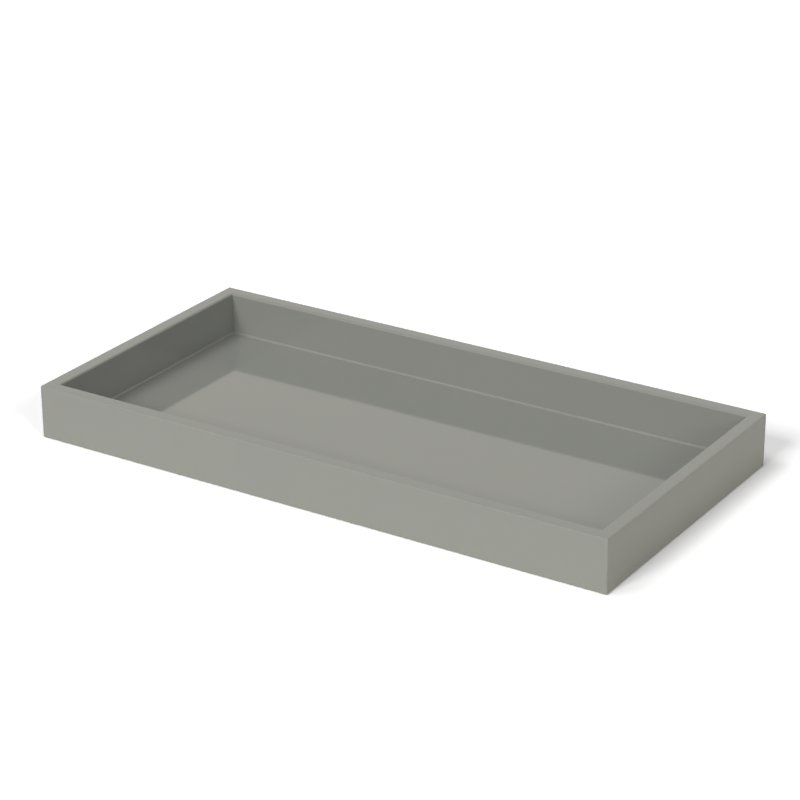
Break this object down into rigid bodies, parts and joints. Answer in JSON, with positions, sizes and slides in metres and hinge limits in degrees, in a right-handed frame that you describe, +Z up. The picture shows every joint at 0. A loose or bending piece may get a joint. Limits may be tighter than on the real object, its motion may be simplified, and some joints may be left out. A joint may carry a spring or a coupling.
{
  "type": "rectangular tray",
  "caption": "Low rectangular tray with mitred board walls, a sunken flat floor and an open top, in gloss lacquer, standing on felt pads.",
  "frame": {"origin": "the middle of the rectangle that the tray covers on the surface it stands on, at the height of that surface", "axes": "+X along the length, +Y across the width towards the back wall, +Z up out of the open top"},
  "size_m": [0.4, 0.2, 0.035],
  "materials": {
    "lacquered_board": "gloss lacquer in warm grey over fibreboard",
    "lacquered_filler": "acrylic filler under the same gloss lacquer",
    "birch_plywood": "raw",
    "pin_steel": "bright drawn wire",
    "felt": "pressed charcoal felt"
  },
  "bodies": {
    "root": {"wall_front": "lacquered_board", "wall_back": "lacquered_board", "wall_left": "lacquered_board", "wall_right": "lacquered_board", "base_panel": "lacquered_board", "filler_bead": "lacquered_filler", "corner_tongue_front_left": "birch_plywood", "corner_tongue_front_right": "birch_plywood", "corner_tongue_back_right": "birch_plywood", "corner_tongue_back_left": "birch_plywood", "base_pin_01": "pin_steel", "base_pin_02": "pin_steel", "base_pin_03": "pin_steel", "base_pin_04": "pin_steel", "base_pin_05": "pin_steel", "base_pin_06": "pin_steel", "base_pin_07": "pin_steel", "base_pin_08": "pin_steel", "base_pin_09": "pin_steel", "base_pin_10": "pin_steel", "base_pin_11": "pin_steel", "base_pin_12": "pin_steel", "foot_pad_front_left": "felt", "foot_pad_front_right": "felt", "foot_pad_back_right": "felt", "foot_pad_back_left": "felt"}
  },
  "joints": []
}
